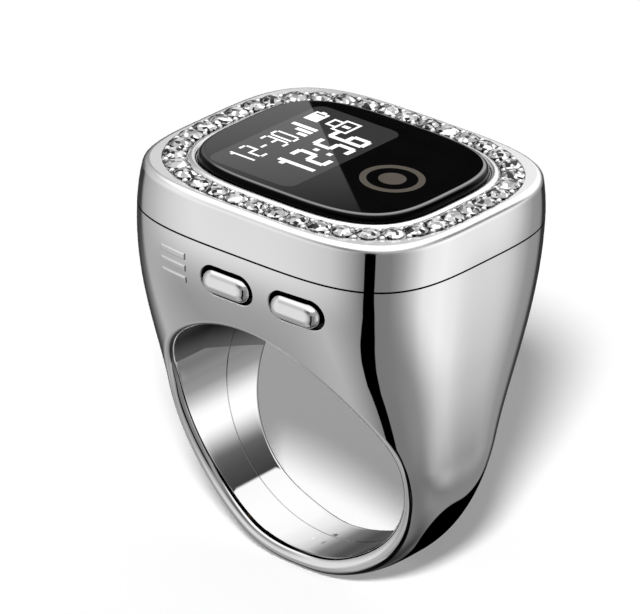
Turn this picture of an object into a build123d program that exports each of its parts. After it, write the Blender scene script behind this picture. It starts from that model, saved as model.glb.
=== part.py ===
from build123d import *
import os
from math import copysign, cos, hypot, pi, sin, sqrt

# A finger ring that counts: band and head, stone-set cover, glass, display, buttons and what drives them.
# Millimetres. The origin is the centre of the finger bore, the bore runs along Y, the buttons face -Y.

# Finger bore and band
BORE_DIAMETER = 20.0
BAND_WALL = 1.65
BAND_SIDE_WALL = 2.2
BAND_WIDTH = 7.2
BAND_ROUND = 1.9
BORE_EDGE_ROUND = 0.6
SEAM_OFFSET = 0.4
SEAM_WIDTH = 0.12
SEAM_DEPTH = 0.1

# Head of the ring, sized from the glass outwards
HEAD_POWER = 3.7
SIDE_SWELL = 0.14
HEAD_WALL = 1.2
CAVITY_CORNER = 6.0
FLOOR_WALL = 1.3

# Cover above the parting line
RIM_LIP = 0.6
PARTING_GAP = 0.12
GASKET_INSET = 0.45
COVER_DRAFT = 0.3
COVER_ROUND = 0.55
TONGUE_WALL = 0.7
TONGUE_CLEARANCE = 0.05
TONGUE_HEADROOM = 0.3
LEDGE_THICKNESS = 0.8

# Glass, sized from the display and the touch field behind it
GLASS_THICKNESS = 1.5
GLASS_PROUD = 0.7
GLASS_ROUND = 0.5
GLASS_CLEARANCE = 0.04
GLASS_ADHESIVE = 0.05
LEDGE_WIDTH = 0.9
FACE_POWER = 3.45

# Stone halo
STONE_DIAMETER = 1.7
STONE_SPACING = 0.08
STONE_SIDES = 8
STONE_CROWN = 0.34
STONE_BELT = 0.08
STONE_PAVILION = 0.72
STONE_LIFT = 0.02
TABLE_SHARE = 0.58
CULET_SHARE = 0.06
HALO_WALL = 0.75
CHANNEL_SIDE = 0.05
SETTING_THICKNESS = 0.6
SETTING_CLEARANCE = 0.04
SEAT_CLEARANCE = 0.03
BEAD_DIAMETER = 0.46
BEAD_PROUD = 0.2
BEAD_INSET = 0.28

# Display
PANEL_LENGTH = 7.4
PANEL_WIDTH = 12.0
PANEL_THICKNESS = 1.2
PANEL_END_MARGIN = 1.9
PANEL_SIDE_MARGIN = 1.3
PANEL_Y = -0.3
OPTICAL_ADHESIVE = 0.1
DISPLAY_GAP = 1.15
FLEX_THICKNESS = 0.1
FLEX_WIDTH = 4.0
FLEX_BEND = 0.4
FLEX_BEND_SHARE = 0.33
FLEX_REACH = 0.9
FLEX_LAP = 0.8
CONNECTOR_LENGTH = 5.0
CONNECTOR_WIDTH = 1.6
CONNECTOR_HEIGHT = 0.6
TOUCH_DIAMETER = 5.0
TOUCH_GAP = 1.75
TOUCH_END_MARGIN = 1.25
TOUCH_Y = -0.7
TOUCH_TAIL_WIDTH = 1.2

# Main board and its chips
BOARD_THICKNESS = 0.6
BOARD_CLEARANCE = 0.15
BOARD_BELOW_PARTING = 0.7
PROCESSOR_SIZE = 5.0
CHARGER_SIZE = 3.0
CRYSTAL_LENGTH = 2.0
CRYSTAL_WIDTH = 1.6
ANTENNA_LENGTH = 3.2
ANTENNA_WIDTH = 1.6
CHIP_HEIGHT = 0.8
SMALL_CHIP_HEIGHT = 0.5
PASSIVE_LENGTH = 1.0
PASSIVE_WIDTH = 0.5
PASSIVE_PITCH = 1.2
PASSIVE_COUNT = 6

# Inner frame and its screws
DECK_THICKNESS = 0.6
FRAME_CLEARANCE = 0.1
POST_DIAMETER = 2.4
SCREW_DIAMETER = 1.1
SCREW_HEAD_DIAMETER = 2.0
SCREW_HEAD_HEIGHT = 0.5
SCREW_BITE = 2.0
SCREW_CLEARANCE = 0.05
SCREW_SLOT_WIDTH = 0.3
SCREW_SLOT_DEPTH = 0.25
RIB_THICKNESS = 0.5

# Battery, between the frame's posts and as long as the motor leaves room for
BATTERY_HEIGHT = 2.5
BATTERY_ROUND = 0.6
BATTERY_CLEARANCE = 0.3
BATTERY_END_GAP = 0.9
BATTERY_TAPE = 0.1
TAB_THICKNESS = 0.15
TAB_WIDTH = 1.4
TAB_PITCH = 6.6
TAB_DROP = 1.2

# Vibration motor
MOTOR_DIAMETER = 7.6
MOTOR_END_GAP = 0.7
MOTOR_SPACE = 0.75
MOTOR_HEADROOM = 0.4
MOTOR_TAPE = 0.1
MOTOR_WALL = 0.25
MOTOR_BASE = 0.4
MOTOR_SHAFT_DIAMETER = 0.8
MOTOR_SHAFT_CLEARANCE = 0.03
ROTOR_HUB_DIAMETER = 2.0
ROTOR_CLEARANCE = 0.3

# Buttons and their switches
BUTTON_LENGTH = 4.15
BUTTON_HEIGHT = 1.86
BUTTON_PROUD = 0.5
BUTTON_THICKNESS = 0.8
BUTTON_ROUND = 0.7
BUTTON_GAP = 0.24
BUTTON_TRAVEL = 0.35
BUTTON_STOP_GAP = 0.1
BUTTON_PITCH = 6.12
BUTTON_CENTRE_X = 1.92
POCKET_ROUND = 0.12
STEM_DIAMETER = 1.5
STEM_CLEARANCE = 0.05
SEAL_SECTION = 0.3
SEAL_INSET = 0.06
SEAL_CLEARANCE = 0.02
CLIP_THICKNESS = 0.2
CLIP_WIDTH = 0.45
CLIP_DEPTH = 0.25
CLIP_CLEARANCE = 0.03
CLIP_MOUTH = 0.8
STEM_TIP = 0.27
SWITCH_LENGTH = 2.6
SWITCH_HEIGHT = 2.0
SWITCH_DEPTH = 0.9
SWITCH_GAP = 0.3
SWITCH_BOARD_THICKNESS = 0.5
SWITCH_BOARD_MARGIN = 0.3
PLUNGER_DIAMETER = 1.0
PLUNGER_PROUD = 0.4
PLUNGER_SEATED = 0.15
PLUNGER_GAP = 0.02
PLUNGER_CLEARANCE = 0.04

# Charging contacts at the crown of the bore
CONTACT_DIAMETER = 1.6
CONTACT_PITCH = 5.08
CONTACT_RECESS = 0.15
CONTACT_FLANGE = 0.15
CONTACT_LIP = 0.35
BUSH_WALL = 0.4
BUSH_FLANGE = 0.15
BUSH_CLEARANCE = 0.03
CHARGE_FLEX_WIDTH = 2.4

# Points on each outline, levels in the body and the cover, and the angle at which the lowest level starts
OUTLINE_POINTS = 56
LOWER_LEVELS = 12
UPPER_LEVELS = 9
COVER_LEVELS = 5
FOOT_TURN = 0.08

# Lengths and widths, from the display outwards
WINDOW_LENGTH = PANEL_END_MARGIN + PANEL_LENGTH + TOUCH_GAP + TOUCH_DIAMETER + TOUCH_END_MARGIN
WINDOW_WIDTH = PANEL_WIDTH + 2 * PANEL_SIDE_MARGIN
PANEL_X = -WINDOW_LENGTH / 2 + PANEL_END_MARGIN + PANEL_LENGTH / 2
TOUCH_X = WINDOW_LENGTH / 2 - TOUCH_END_MARGIN - TOUCH_DIAMETER / 2
GLASS_LENGTH = WINDOW_LENGTH + 2 * LEDGE_WIDTH
GLASS_WIDTH = WINDOW_WIDTH + 2 * LEDGE_WIDTH
STONE_R = STONE_DIAMETER / 2
CULET_R = STONE_R * CULET_SHARE
CHANNEL_WIDTH = STONE_DIAMETER + 2 * CHANNEL_SIDE
HALO_SHIFT = HALO_WALL + CHANNEL_WIDTH / 2
HEAD_MARGIN = HALO_WALL + CHANNEL_WIDTH + RIM_LIP + COVER_DRAFT
HEAD_LENGTH = GLASS_LENGTH + 2 * HEAD_MARGIN
HEAD_WIDTH = GLASS_WIDTH + 2 * HEAD_MARGIN

# Heights, stacked from the bore up
BORE_R = BORE_DIAMETER / 2
BOTTOM_Z = -BORE_R - BAND_WALL
BAND_R = BORE_R + BAND_SIDE_WALL
BAND_Z = BOTTOM_Z + BAND_R
FLOOR_Z = BORE_R + FLOOR_WALL
BUSH_TOP_Z = FLOOR_Z + BUSH_FLANGE
CONTACT_TOP_Z = BUSH_TOP_Z + CONTACT_FLANGE
BATTERY_Z = CONTACT_TOP_Z + FLEX_THICKNESS
BATTERY_TOP_Z = BATTERY_Z + BATTERY_HEIGHT
DECK_Z = BATTERY_TOP_Z + BATTERY_TAPE
BOARD_Z = DECK_Z + DECK_THICKNESS
BOARD_TOP_Z = BOARD_Z + BOARD_THICKNESS
PARTING_Z = BOARD_TOP_Z + BOARD_BELOW_PARTING
COVER_Z = PARTING_Z + PARTING_GAP
PANEL_Z = BOARD_TOP_Z + CHIP_HEIGHT + DISPLAY_GAP
PANEL_TOP_Z = PANEL_Z + PANEL_THICKNESS
GLASS_Z = PANEL_TOP_Z + OPTICAL_ADHESIVE
GLASS_TOP_Z = GLASS_Z + GLASS_THICKNESS
RIM_Z = GLASS_TOP_Z - GLASS_PROUD
LEDGE_Z = GLASS_Z - GLASS_ADHESIVE
CEILING_Z = LEDGE_Z - LEDGE_THICKNESS

# Stones: the girdle lies level with the rim
GIRDLE_Z = RIM_Z
SETTING_TOP_Z = GIRDLE_Z - STONE_PAVILION / 2
SEAT_DEPTH = STONE_PAVILION - (GIRDLE_Z - SETTING_TOP_Z)
CHANNEL_Z = SETTING_TOP_Z - SETTING_THICKNESS


def ease(share):
    """Smooth step from 0 to 1, level at both ends."""
    share = min(max(share, 0.0), 1.0)
    return share * share * (3 - 2 * share)


def half_length(z):
    """Half the ring's extent along X at height z: a round band that swells into the head."""
    if z <= BAND_Z:
        return sqrt(BAND_R**2 - (z - BAND_Z) ** 2)
    if z >= PARTING_Z:
        return HEAD_LENGTH / 2 - COVER_DRAFT * ((z - PARTING_Z) / (RIM_Z - PARTING_Z)) ** 2
    share = (z - BAND_Z) / (PARTING_Z - BAND_Z)
    swell = SIDE_SWELL * (4 * share * (1 - share)) ** 2
    return BAND_R + (HEAD_LENGTH / 2 - BAND_R) * ease(share) + swell


def half_width(z):
    """Half the ring's extent along Y at height z: narrow and round below, wide at the head."""
    if z >= PARTING_Z:
        return HEAD_WIDTH / 2 - COVER_DRAFT * ((z - PARTING_Z) / (RIM_Z - PARTING_Z)) ** 2
    share = (z - BOTTOM_Z) / (PARTING_Z - BOTTOM_Z)
    width = BAND_WIDTH / 2 + (HEAD_WIDTH - BAND_WIDTH) / 2 * ease(share)
    lift = min(z - BOTTOM_Z, BAND_ROUND)
    return width - BAND_ROUND + sqrt(BAND_ROUND**2 - (BAND_ROUND - lift) ** 2)


CAVITY_X = half_length(FLOOR_Z) - HEAD_WALL
CAVITY_Y = half_width(FLOOR_Z) - HEAD_WALL
TONGUE_INSET = TONGUE_CLEARANCE + TONGUE_WALL
TONGUE_Z = BOARD_Z + TONGUE_HEADROOM
POST_REACH = CAVITY_CORNER - TONGUE_INSET - BOARD_CLEARANCE - SCREW_HEAD_DIAMETER / 2
POST_X = CAVITY_X - CAVITY_CORNER + POST_REACH * sqrt(0.5)
POST_Y = CAVITY_Y - CAVITY_CORNER + POST_REACH * sqrt(0.5)
POSTS = [(-POST_X, -POST_Y), (-POST_X, POST_Y), (POST_X, -POST_Y), (POST_X, POST_Y)]

# Buttons, from the switch back to the face of the ring
BUTTON_Z = BOARD_Z - SWITCH_GAP - SWITCH_HEIGHT / 2
FACE_Y = -half_width(BUTTON_Z)
CAP_Y = FACE_Y - BUTTON_PROUD
CAP_BACK_Y = CAP_Y + BUTTON_THICKNESS
POCKET_Y = CAP_BACK_Y + BUTTON_TRAVEL + BUTTON_STOP_GAP
WALL_Y = -CAVITY_Y
STEM_R = STEM_DIAMETER / 2
STEM_HOLE_R = STEM_R + STEM_CLEARANCE
CLIP_Y = WALL_Y + CLIP_CLEARANCE
STEM_END_Y = CLIP_Y + CLIP_THICKNESS + STEM_TIP
PLUNGER_Y = STEM_END_Y + PLUNGER_GAP
SWITCH_Y = PLUNGER_Y + PLUNGER_PROUD
SWITCH_BOARD_Y = SWITCH_Y + SWITCH_DEPTH
RIB_Y = SWITCH_BOARD_Y + SWITCH_BOARD_THICKNESS
SEAL_Y = POCKET_Y + SEAL_INSET + SEAL_SECTION / 2
BUTTONS = {
    "left": BUTTON_CENTRE_X - BUTTON_PITCH / 2,
    "right": BUTTON_CENTRE_X + BUTTON_PITCH / 2,
}
SWITCH_BOARD_LENGTH = BUTTON_PITCH + SWITCH_LENGTH + 2 * SWITCH_BOARD_MARGIN

# Motor at one end of the cavity, battery in the rest
MOTOR_X = CAVITY_X - MOTOR_END_GAP - MOTOR_DIAMETER / 2
BATTERY_START_X = -CAVITY_X + BATTERY_END_GAP
BATTERY_END_X = MOTOR_X - MOTOR_DIAMETER / 2 - MOTOR_SPACE
BATTERY_X = (BATTERY_START_X + BATTERY_END_X) / 2
BATTERY_LENGTH = BATTERY_END_X - BATTERY_START_X
BATTERY_WIDTH = 2 * (POST_Y - POST_DIAMETER / 2 - BATTERY_CLEARANCE)
MOTOR_Z = FLOOR_Z + MOTOR_TAPE
MOTOR_TOP_Z = DECK_Z - MOTOR_HEADROOM
CONTACTS = [(0, -CONTACT_PITCH / 2), (0, CONTACT_PITCH / 2)]


def outline(half_x, half_y, power, z, shift=0.0):
    """Rounded square outline at height z, moved along its own normal by shift."""
    points = []
    for step in range(OUTLINE_POINTS):
        angle = 2 * pi * step / OUTLINE_POINTS
        across, along = cos(angle) / half_x, sin(angle) / half_y
        reach = (abs(across) ** power + abs(along) ** power) ** (-1 / power)
        slope_x = copysign(abs(across * reach) ** (power - 1) / half_x, across)
        slope_y = copysign(abs(along * reach) ** (power - 1) / half_y, along)
        size = hypot(slope_x, slope_y)
        x = reach * cos(angle) + shift * slope_x / size
        y = reach * sin(angle) + shift * slope_y / size
        points.append((x, y, z))
    return Spline(*points, periodic=True)


def head_section(z, shift=0.0):
    """Section of the ring's outside at height z."""
    return make_face(outline(half_length(z), half_width(z), HEAD_POWER, z, shift))


def glass_section(z, shift=0.0):
    """Outline of the glass at height z, moved outwards by shift."""
    return make_face(outline(GLASS_LENGTH / 2, GLASS_WIDTH / 2, FACE_POWER, z, shift))


def cavity_section(z, inset=0.0):
    """Rounded rectangle of the cavity at height z, smaller by inset all round."""
    corner = CAVITY_CORNER - inset
    flat = RectangleRounded(2 * (CAVITY_X - inset), 2 * (CAVITY_Y - inset), corner)
    return Pos(0, 0, z) * flat


def rise(section, height):
    """Prism that stands on a flat section."""
    return extrude(section, height, dir=(0, 0, 1))


def box(x, y, z, length, width, height, corner=0.0):
    """Block centred on x and y that stands on z, with upright edges rounded."""
    flat = RectangleRounded(length, width, corner) if corner else Rectangle(length, width)
    return rise(Pos(x, y, z) * flat, height)


def post(x, y, z, diameter, height):
    """Upright cylinder that stands on z."""
    return rise(Pos(x, y, z) * Circle(diameter / 2), height)


def along_y(x, z, start_y, end_y, shape):
    """Prism of a flat shape, drawn in X and Z, from start_y to end_y."""
    plane = Plane(origin=(x, start_y, z), x_dir=(1, 0, 0), z_dir=(0, 1, 0))
    return extrude(plane * shape, end_y - start_y)


def ribbon(points, bend, thickness, width, x, y, turn):
    """Thin strip along a bent path in the upright plane that turn gives, width across it."""
    path = FilletPolyline(*points, radius=bend)
    plane = Plane(origin=(x, y, 0), x_dir=(cos(turn), sin(turn), 0), z_dir=(sin(turn), -cos(turn), 0))
    return extrude(plane * trace(path, thickness), width / 2, both=True)


def body_levels():
    """Heights of the body's sections, close together under the finger."""
    turns = [FOOT_TURN + (pi / 2 - FOOT_TURN) * step / LOWER_LEVELS for step in range(LOWER_LEVELS)]
    lower = [BAND_Z - BAND_R * cos(turn) for turn in turns]
    upper = [BAND_Z + (PARTING_Z - BAND_Z) * step / UPPER_LEVELS for step in range(UPPER_LEVELS + 1)]
    return lower + upper


def is_pocket_mouth(place):
    """True for the middle of an edge where a button pocket meets the ring's face."""
    near_face = place.Y < (FACE_Y + POCKET_Y) / 2
    return near_face and abs(place.Z - BUTTON_Z) < BUTTON_HEIGHT


def ring_body():
    """Band and head in one casting, open at the top for the works."""
    body = loft([head_section(z) for z in body_levels()])
    bore = along_y(0, 0, -HEAD_WIDTH, HEAD_WIDTH, Circle(BORE_R))
    body -= bore
    bore_wall = body.faces().filter_by(GeomType.CYLINDER)
    mouths = [edge for edge in bore_wall.edges() if edge.geom_type != GeomType.LINE]
    body = fillet(mouths, BORE_EDGE_ROUND)
    seam = Circle(BORE_R + SEAM_DEPTH) - Circle(BORE_R - SEAM_DEPTH)
    body -= along_y(0, 0, SEAM_OFFSET - SEAM_WIDTH / 2, SEAM_OFFSET + SEAM_WIDTH / 2, seam)
    body -= rise(cavity_section(FLOOR_Z), PARTING_Z - FLOOR_Z)
    pocket = SlotOverall(BUTTON_LENGTH + 2 * BUTTON_GAP, BUTTON_HEIGHT + 2 * BUTTON_GAP)
    for x in BUTTONS.values():
        body -= along_y(x, BUTTON_Z, -HEAD_WIDTH, POCKET_Y, pocket)
    mouths = [e for e in body.edges() if is_pocket_mouth(e.center())]
    body = fillet(mouths, POCKET_ROUND)
    for x in BUTTONS.values():
        body -= along_y(x, BUTTON_Z, POCKET_Y, WALL_Y, Circle(STEM_HOLE_R))
    for x, y in POSTS:
        body -= post(x, y, FLOOR_Z - SCREW_BITE, SCREW_DIAMETER + 2 * SCREW_CLEARANCE, SCREW_BITE)
    for x, y in CONTACTS:
        body -= post(x, y, 0, CONTACT_DIAMETER + 2 * (BUSH_WALL + BUSH_CLEARANCE), FLOOR_Z)
    return body


def top_cover():
    """Rim over the works, with a tongue below, a seat for the glass and a channel for the stones."""
    spacing = (RIM_Z - COVER_Z) / (COVER_LEVELS - 1)
    levels = [COVER_Z + spacing * step for step in range(COVER_LEVELS)]
    cover = loft([head_section(z) for z in levels])
    cover = fillet(cover.faces().sort_by(Axis.Z)[-1].edges(), min(COVER_ROUND, RIM_LIP))
    cover += rise(cavity_section(TONGUE_Z, TONGUE_CLEARANCE), COVER_Z - TONGUE_Z)
    cover -= rise(cavity_section(TONGUE_Z, TONGUE_INSET), CEILING_Z - TONGUE_Z)
    cover -= rise(glass_section(LEDGE_Z, GLASS_CLEARANCE), GLASS_TOP_Z - LEDGE_Z)
    cover -= rise(glass_section(CEILING_Z, -LEDGE_WIDTH), LEDGE_THICKNESS)
    outer = glass_section(CHANNEL_Z, HALO_WALL + CHANNEL_WIDTH)
    inner = glass_section(CHANNEL_Z, HALO_WALL)
    cover -= rise(outer - inner, RIM_Z - CHANNEL_Z)
    return cover


def cover_gasket():
    """Thin gasket in the parting line, set back from the outside."""
    flat = head_section(PARTING_Z, -GASKET_INSET) - cavity_section(PARTING_Z)
    return rise(flat, PARTING_GAP)


def halo_places():
    """Places of the stones along the channel, of the gaps between them, and the way across each gap."""
    middle = outline(GLASS_LENGTH / 2, GLASS_WIDTH / 2, FACE_POWER, 0, HALO_SHIFT)
    count = int(middle.length / (STONE_DIAMETER + STONE_SPACING))
    stones = [middle @ (step / count) for step in range(count)]
    gaps = [middle @ ((step + 0.5) / count) for step in range(count)]
    sides = [(middle % ((step + 0.5) / count)).rotate(Axis.Z, -90) for step in range(count)]
    return stones, gaps, sides


STONES, GAPS, SIDES = halo_places()


def stone():
    """Round cut stone about the origin: table and crown above the belt, point below."""
    girdle = RegularPolygon(STONE_R, STONE_SIDES)
    table = RegularPolygon(STONE_R * TABLE_SHARE, STONE_SIDES)
    culet = RegularPolygon(CULET_R, STONE_SIDES)
    crown = loft([Pos(0, 0, STONE_BELT) * girdle, Pos(0, 0, STONE_CROWN) * table], ruled=True)
    point = loft([Pos(0, 0, -STONE_PAVILION) * culet, girdle], ruled=True)
    return crown + rise(girdle, STONE_BELT) + point


def halo_stones():
    """Every stone of the halo."""
    cut = stone()
    height = GIRDLE_Z + STONE_LIFT
    return Compound(children=[Pos(place.X, place.Y, height) * cut for place in STONES])


def prong_beads():
    """Domed bead on each side of every gap between two stones."""
    beads = []
    spread = CHANNEL_WIDTH / 2 - BEAD_INSET
    top = RIM_Z + BEAD_PROUD
    for step, gap in enumerate(GAPS):
        pair = STONES[step], STONES[(step + 1) % len(STONES)]
        for side in (-spread, spread):
            place = gap + SIDES[step] * side
            room = min(hypot(place.X - near.X, place.Y - near.Y) for near in pair)
            radius = min(BEAD_DIAMETER / 2, room - STONE_R - SEAT_CLEARANCE)
            shaft = post(place.X, place.Y, SETTING_TOP_Z, 2 * radius, top - radius - SETTING_TOP_Z)
            beads.append(shaft + Pos(place.X, place.Y, top - radius) * Sphere(radius))
    return beads


def stone_setting():
    """Strip in the channel floor with a cone-shaped seat under each stone and beads that hold them."""
    outer = glass_section(CHANNEL_Z, HALO_WALL + CHANNEL_WIDTH - SETTING_CLEARANCE)
    inner = glass_section(CHANNEL_Z, HALO_WALL + SETTING_CLEARANCE)
    strip = rise(outer - inner, SETTING_THICKNESS)
    low = CULET_R + SEAT_CLEARANCE
    top = low + (STONE_R - CULET_R) * SEAT_DEPTH / STONE_PAVILION
    seat = Cone(low, top, SEAT_DEPTH, align=(Align.CENTER, Align.CENTER, Align.MAX))
    seats = [Pos(place.X, place.Y, SETTING_TOP_Z) * seat for place in STONES]
    return strip - seats + prong_beads()


def window_glass():
    """Dark glass with a rounded upper edge."""
    glass = rise(glass_section(GLASS_Z), GLASS_THICKNESS)
    return fillet(glass.faces().sort_by(Axis.Z)[-1].edges(), GLASS_ROUND)


def window_adhesive():
    """Adhesive ring that holds the glass on its ledge."""
    return rise(glass_section(LEDGE_Z) - glass_section(LEDGE_Z, -LEDGE_WIDTH), GLASS_ADHESIVE)


def display_panel():
    """Display cell behind the glass."""
    return box(PANEL_X, PANEL_Y, PANEL_Z, PANEL_LENGTH, PANEL_WIDTH, PANEL_THICKNESS)


def display_adhesive():
    """Clear adhesive between the display and the glass."""
    return box(PANEL_X, PANEL_Y, PANEL_TOP_Z, PANEL_LENGTH, PANEL_WIDTH, OPTICAL_ADHESIVE)


FLEX_END_Y = PANEL_Y + PANEL_WIDTH / 2
CONNECTOR_Y = FLEX_END_Y - CONNECTOR_WIDTH / 2


def display_flex():
    """Flat cable from under the display, round a bend and back to its connector on the board."""
    top = PANEL_Z - FLEX_THICKNESS / 2
    low = BOARD_TOP_Z + CONNECTOR_HEIGHT + FLEX_THICKNESS / 2
    out = FLEX_END_Y + FLEX_REACH
    path = [(FLEX_END_Y - FLEX_LAP, top), (out, top), (out, low), (FLEX_END_Y - CONNECTOR_WIDTH, low)]
    bend = min(FLEX_BEND, FLEX_BEND_SHARE * (top - low))
    return ribbon(path, bend, FLEX_THICKNESS, FLEX_WIDTH, PANEL_X, 0, pi / 2)


def display_connector():
    """Socket on the main board that takes the display's flat cable."""
    return box(PANEL_X, CONNECTOR_Y, BOARD_TOP_Z, CONNECTOR_LENGTH, CONNECTOR_WIDTH, CONNECTOR_HEIGHT)


def touch_electrode():
    """Round foil under the glass with a tail that bends down to the main board."""
    top = GLASS_Z - FLEX_THICKNESS / 2
    start = TOUCH_DIAMETER / 2 - FLEX_LAP
    out = TOUCH_DIAMETER / 2 + FLEX_BEND
    path = [(start, top), (out, top), (out, BOARD_TOP_Z)]
    tail = ribbon(path, FLEX_BEND, FLEX_THICKNESS, TOUCH_TAIL_WIDTH, TOUCH_X, TOUCH_Y, -pi / 2)
    return post(TOUCH_X, TOUCH_Y, GLASS_Z - FLEX_THICKNESS, TOUCH_DIAMETER, FLEX_THICKNESS) + tail


def main_board():
    """Circuit board inside the cover's tongue, drilled for the frame's screws."""
    board = rise(cavity_section(BOARD_Z, TONGUE_INSET + BOARD_CLEARANCE), BOARD_THICKNESS)
    holes = [post(x, y, BOARD_Z, SCREW_DIAMETER + 2 * SCREW_CLEARANCE, BOARD_THICKNESS) for x, y in POSTS]
    return board - holes


CHIP_X = TOUCH_X
CHIP_ROW_Y = TOUCH_Y + TOUCH_DIAMETER / 2


def processor_chip():
    """Radio and processor chip."""
    return box(CHIP_X, CHIP_ROW_Y, BOARD_TOP_Z, PROCESSOR_SIZE, PROCESSOR_SIZE, CHIP_HEIGHT)


def charger_chip():
    """Battery charger chip."""
    return box(PANEL_X, PANEL_Y, BOARD_TOP_Z, CHARGER_SIZE, CHARGER_SIZE, CHIP_HEIGHT)


def clock_crystal():
    """Quartz crystal beside the processor."""
    x = CHIP_X - PROCESSOR_SIZE / 2 - CRYSTAL_WIDTH / 2 - PASSIVE_WIDTH
    return box(x, CHIP_ROW_Y, BOARD_TOP_Z, CRYSTAL_WIDTH, CRYSTAL_LENGTH, SMALL_CHIP_HEIGHT)


def chip_antenna():
    """Ceramic antenna at the board's edge."""
    x = CHIP_X + PROCESSOR_SIZE / 2 + ANTENNA_WIDTH / 2 + PASSIVE_WIDTH
    return box(x, CHIP_ROW_Y, BOARD_TOP_Z, ANTENNA_WIDTH, ANTENNA_LENGTH, SMALL_CHIP_HEIGHT)


def board_passives():
    """Row of small capacitors and resistors beside the charger."""
    y = PANEL_Y - CHARGER_SIZE / 2 - PASSIVE_LENGTH
    start = PANEL_X - PASSIVE_PITCH * (PASSIVE_COUNT - 1) / 2
    places = [start + PASSIVE_PITCH * step for step in range(PASSIVE_COUNT)]
    chips = [box(x, y, BOARD_TOP_Z, PASSIVE_WIDTH, PASSIVE_LENGTH, SMALL_CHIP_HEIGHT) for x in places]
    return Compound(children=chips)


def inner_frame():
    """Deck over the battery on four posts, with a rib behind the switch board."""
    frame = rise(cavity_section(DECK_Z, FRAME_CLEARANCE), DECK_THICKNESS)
    for x, y in POSTS:
        frame += post(x, y, FLOOR_Z, POST_DIAMETER, DECK_Z - FLOOR_Z)
    notch_width = SWITCH_BOARD_LENGTH + 2 * SWITCH_BOARD_MARGIN
    notch = RIB_Y + CAVITY_Y
    frame -= box(BUTTON_CENTRE_X, RIB_Y - notch / 2, DECK_Z, notch_width, notch, DECK_THICKNESS)
    rib_z = FLOOR_Z + SWITCH_GAP
    rib_y = RIB_Y + RIB_THICKNESS / 2
    frame += box(BUTTON_CENTRE_X, rib_y, rib_z, SWITCH_BOARD_LENGTH, RIB_THICKNESS, DECK_Z - rib_z)
    slot_width = TAB_PITCH + 2 * TAB_WIDTH
    slot_x = BATTERY_END_X + MOTOR_SPACE / 2
    frame -= box(slot_x, 0, DECK_Z, MOTOR_SPACE, slot_width, DECK_THICKNESS)
    for x, y in POSTS:
        frame -= post(x, y, FLOOR_Z, SCREW_DIAMETER + 2 * SCREW_CLEARANCE, BOARD_Z - FLOOR_Z)
    return frame


def frame_screws():
    """Four screws through the board and the frame's posts into the body."""
    length = SCREW_BITE - SCREW_CLEARANCE + BOARD_TOP_Z - FLOOR_Z
    screw = post(0, 0, BOARD_TOP_Z - length, SCREW_DIAMETER, length)
    screw += post(0, 0, BOARD_TOP_Z, SCREW_HEAD_DIAMETER, SCREW_HEAD_HEIGHT)
    slot_z = BOARD_TOP_Z + SCREW_HEAD_HEIGHT - SCREW_SLOT_DEPTH
    screw -= box(0, 0, slot_z, SCREW_HEAD_DIAMETER, SCREW_SLOT_WIDTH, SCREW_SLOT_DEPTH)
    return Compound(children=[Pos(x, y, 0) * screw for x, y in POSTS])


def battery_cell():
    """Flat lithium cell under the deck."""
    return box(BATTERY_X, 0, BATTERY_Z, BATTERY_LENGTH, BATTERY_WIDTH, BATTERY_HEIGHT, BATTERY_ROUND)


def battery_tape():
    """Tape that holds the cell to the deck."""
    return box(BATTERY_X, 0, BATTERY_TOP_Z, BATTERY_LENGTH / 2, BATTERY_WIDTH / 2, BATTERY_TAPE)


def battery_tabs():
    """Two strips from the end of the cell up to the board."""
    x = BATTERY_END_X + TAB_THICKNESS / 2
    start = BATTERY_TOP_Z - TAB_DROP
    tab = box(x, 0, start, TAB_THICKNESS, TAB_WIDTH, BOARD_Z - start)
    return Compound(children=[Pos(0, side * TAB_PITCH / 2, 0) * tab for side in (-1, 1)])


def motor_base():
    """Base plate of the vibration motor with its shaft boss."""
    base = post(MOTOR_X, 0, MOTOR_Z, MOTOR_DIAMETER, MOTOR_BASE)
    return base - post(MOTOR_X, 0, MOTOR_Z, MOTOR_SHAFT_DIAMETER, MOTOR_BASE)


def motor_can():
    """Cap of the vibration motor."""
    start = MOTOR_Z + MOTOR_BASE
    can = post(MOTOR_X, 0, start, MOTOR_DIAMETER, MOTOR_TOP_Z - start)
    inside = MOTOR_DIAMETER - 2 * MOTOR_WALL
    return can - post(MOTOR_X, 0, start, inside, MOTOR_TOP_Z - MOTOR_WALL - start)


def motor_shaft():
    """Fixed shaft between the motor's base and cap."""
    return post(MOTOR_X, 0, MOTOR_Z, MOTOR_SHAFT_DIAMETER, MOTOR_TOP_Z - MOTOR_WALL - MOTOR_Z)


def motor_rotor():
    """Half-round weight that turns on the shaft."""
    start = MOTOR_Z + MOTOR_BASE + ROTOR_CLEARANCE
    height = MOTOR_TOP_Z - MOTOR_WALL - ROTOR_CLEARANCE - start
    diameter = MOTOR_DIAMETER - 2 * (MOTOR_WALL + ROTOR_CLEARANCE)
    rotor = post(MOTOR_X, 0, start, diameter, height)
    rotor -= box(MOTOR_X - diameter / 2, 0, start, diameter, diameter, height)
    rotor += post(MOTOR_X, 0, start, ROTOR_HUB_DIAMETER, height)
    return rotor - post(MOTOR_X, 0, start, MOTOR_SHAFT_DIAMETER + 2 * MOTOR_SHAFT_CLEARANCE, height)


def motor_tape():
    """Foam tape that holds the motor to the floor of the cavity."""
    return post(MOTOR_X, 0, FLOOR_Z, MOTOR_DIAMETER - 2 * MOTOR_WALL, MOTOR_TAPE)


def charge_contacts():
    """Two contact pins, flush in the crown of the bore."""
    start = BORE_R + CONTACT_RECESS
    pin = post(0, 0, start, CONTACT_DIAMETER, CONTACT_TOP_Z - start)
    pin += post(0, 0, BUSH_TOP_Z, CONTACT_DIAMETER + 2 * CONTACT_LIP, CONTACT_FLANGE)
    return Compound(children=[Pos(x, y, 0) * pin for x, y in CONTACTS])


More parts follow.
